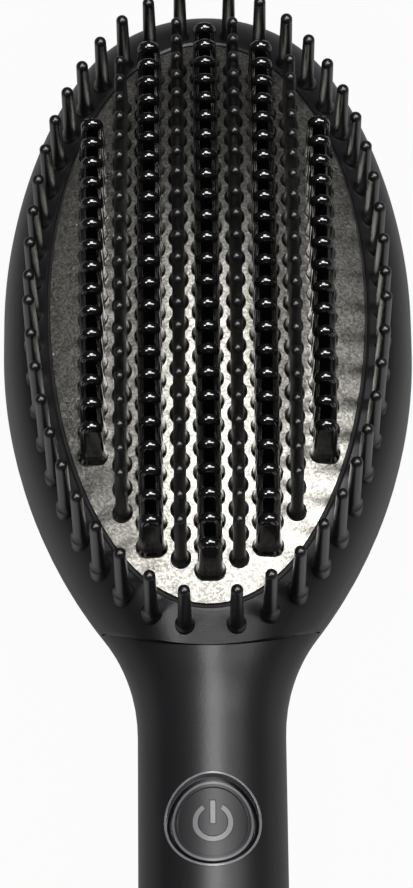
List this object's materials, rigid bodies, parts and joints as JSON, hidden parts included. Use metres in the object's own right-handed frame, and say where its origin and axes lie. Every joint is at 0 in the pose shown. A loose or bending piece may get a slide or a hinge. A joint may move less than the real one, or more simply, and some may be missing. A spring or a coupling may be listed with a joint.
{
  "type": "hair straightening brush",
  "caption": "Heated straightening brush: oval domed head with bristle columns round a coated metal plate, round handle with a power button, turning cord gland.",
  "frame": {"origin": "middle of the brush's plan box, on the surface that its back rests on", "axes": "+X across the brush, +Y from the cord end towards the head's tip, +Z the way the bristles point"},
  "size_m": [0.0774, 0.29, 0.0578],
  "materials": {
    "housing": "fine satin moulding",
    "coated_plate": "ceramic-coated aluminium, fine metallic grain",
    "seal": "dull",
    "bristle_cap": "soft heat-proof nylon",
    "bristle": "satin nylon",
    "ceramic": "fired ceramic body",
    "mica": "pressed mica sheet",
    "steel": "plain",
    "sensor": "coated bead",
    "fuse": "plain case",
    "chassis": "glass-filled nylon",
    "bezel": "polished edge",
    "button": "satin",
    "light_guide": "translucent white",
    "switch": "moulded",
    "led": "clear lens",
    "board": "solder mask",
    "capacitor": "dipped box",
    "chip": "moulded package",
    "terminal": "moulded",
    "wire": "silicone sleeve"
  },
  "bodies": {
    "brush": {"front_frame": "housing", "handle_front": "housing", "rear_housing": "housing", "heater_plate": "coated_plate", "plate_gasket": "seal", "pin_caps_1": "bristle_cap", "pin_caps_2": "bristle_cap", "pin_caps_3": "bristle_cap", "pin_caps_4": "bristle_cap", "pin_caps_5": "bristle_cap", "long_pin_comb_1": "bristle", "long_pin_comb_2": "bristle", "long_pin_comb_3": "bristle", "long_pin_comb_4": "bristle", "outer_pins_upper_right": "bristle", "outer_pins_upper_left": "bristle", "outer_pins_lower_left": "bristle", "outer_pins_lower_right": "bristle", "ceramic_heater_upper": "ceramic", "ceramic_heater_lower": "ceramic", "insulation_sheet": "mica", "clamp_plate": "steel", "thermistor": "sensor", "thermal_fuse": "fuse", "inner_chassis": "chassis", "button_bezel": "bezel", "tact_switch": "switch", "status_led": "led", "control_board": "board", "film_capacitor": "capacitor", "triac": "chip", "control_chip": "chip", "terminal_block": "terminal", "end_collar": "housing", "swivel_retainer": "chassis", "clamp_screws": "steel", "plate_screws": "steel", "chassis_screws": "steel", "board_screws": "steel", "housing_screws": "steel", "heater_leads": "wire"},
    "button": {"power_button": "button", "symbol_light_guide": "light_guide"},
    "key": {"switch_key": "switch"},
    "swivel": {"cord_swivel": "housing"}
  },
  "joints": [
    {"name": "button_press", "type": "slide", "parent": "brush", "child": "button", "axis": [0, 0, -1], "range_m": [0, 0.0006], "stiffness_N_per_m": 800},
    {"name": "key_press", "type": "slide", "parent": "brush", "child": "key", "axis": [0, 0, -1], "range_m": [0, 0.0006]},
    {"name": "cord_turn", "type": "hinge", "parent": "brush", "child": "swivel", "pos_m": [0, -0.135, 0.01365], "axis": [0, 1, 0], "continuous": true}
  ],
  "couplings": [
    {"joint": "key_press", "follows": "button_press", "ratio": 1}
  ]
}
